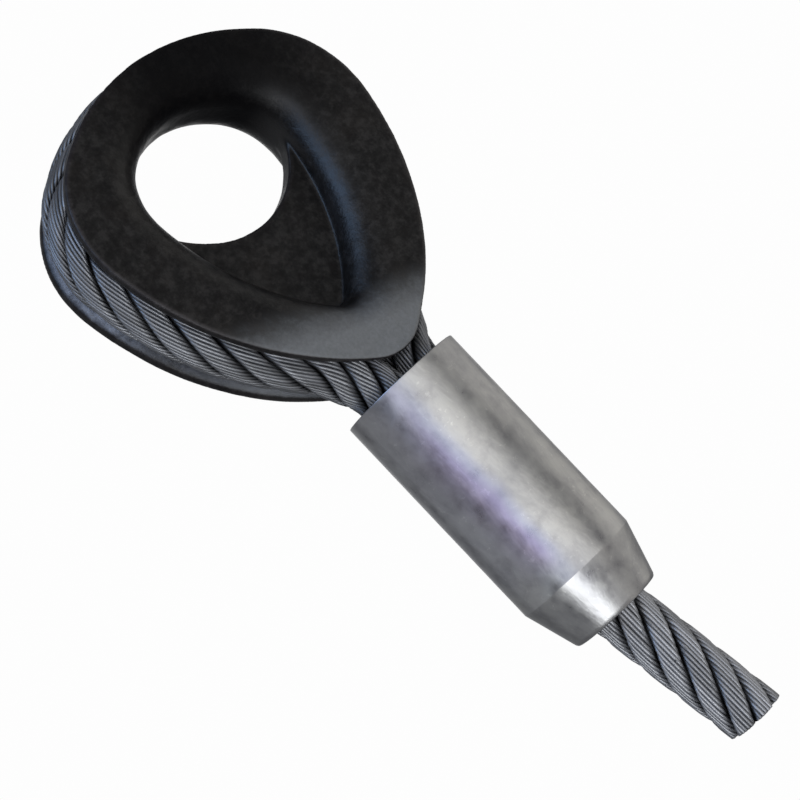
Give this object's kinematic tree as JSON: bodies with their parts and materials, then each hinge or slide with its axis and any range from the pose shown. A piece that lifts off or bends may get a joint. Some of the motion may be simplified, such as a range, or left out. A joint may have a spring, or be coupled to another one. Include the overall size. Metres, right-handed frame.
{
  "type": "wire rope thimble eye",
  "caption": "Wire rope eye end: a heavy cast thimble with a gusset web, held by a spliced eye of stranded steel rope in a tapered pressed steel sleeve.",
  "frame": {"origin": "middle of the eye opening, half way between the thimble's two cheeks, where the pin passes", "axes": "+Y along the pin, into the back cheek; -Z down the rope from the eye to the tail; +X across the eye, towards the side the tail bends to"},
  "size_m": [0.1582, 0.056, 0.3664],
  "materials": {
    "thimble_paint": "near-black semi-gloss paint over a cast surface",
    "sleeve_steel": "satin pressed steel with a faint heat tint",
    "rope_wire": "galvanised wire with dark grease in the valleys",
    "core_wire": "greased galvanised wire"
  },
  "bodies": {
    "eye": {"thimble_body": "thimble_paint", "gusset_web": "thimble_paint", "sleeve": "sleeve_steel", "loop_strand_1": "rope_wire", "loop_strand_2": "rope_wire", "loop_strand_3": "rope_wire", "loop_strand_4": "rope_wire", "loop_strand_5": "rope_wire", "loop_strand_6": "rope_wire", "loop_core_king": "core_wire", "loop_core_strands": "core_wire", "tail_root_strands": "rope_wire", "tail_root_core": "core_wire"},
    "tail_1": {"tail_strands_1": "rope_wire", "tail_core_1": "core_wire"},
    "tail_2": {"tail_strands_2": "rope_wire", "tail_core_2": "core_wire"},
    "tail_3": {"tail_strands_3": "rope_wire", "tail_core_3": "core_wire"},
    "tail_4": {"tail_strands_4": "rope_wire", "tail_core_4": "core_wire"}
  },
  "joints": [
    {"name": "tail_bend_in_plane", "type": "hinge", "parent": "eye", "child": "tail_1", "pos_m": [0.00155, 0, -0.23984], "axis": [0, 1, 0], "range_deg": [-8, 8], "stiffness_Nm_per_rad": 40},
    {"name": "tail_bend_across", "type": "hinge", "parent": "tail_1", "child": "tail_2", "pos_m": [0.00462, 0, -0.25692], "axis": [0.9842, 0, 0.1771], "range_deg": [-8, 8], "stiffness_Nm_per_rad": 40},
    {"name": "tail_bend_in_plane_outer", "type": "hinge", "parent": "tail_2", "child": "tail_3", "pos_m": [0.00769, 0, -0.274], "axis": [0, 1, 0], "range_deg": [-8, 8], "stiffness_Nm_per_rad": 40},
    {"name": "tail_bend_across_outer", "type": "hinge", "parent": "tail_3", "child": "tail_4", "pos_m": [0.01077, 0, -0.29108], "axis": [0.9842, 0, 0.1771], "range_deg": [-8, 8], "stiffness_Nm_per_rad": 40}
  ],
  "couplings": [
    {"joint": "tail_bend_in_plane_outer", "follows": "tail_bend_in_plane", "ratio": 1},
    {"joint": "tail_bend_across_outer", "follows": "tail_bend_across", "ratio": 1}
  ]
}
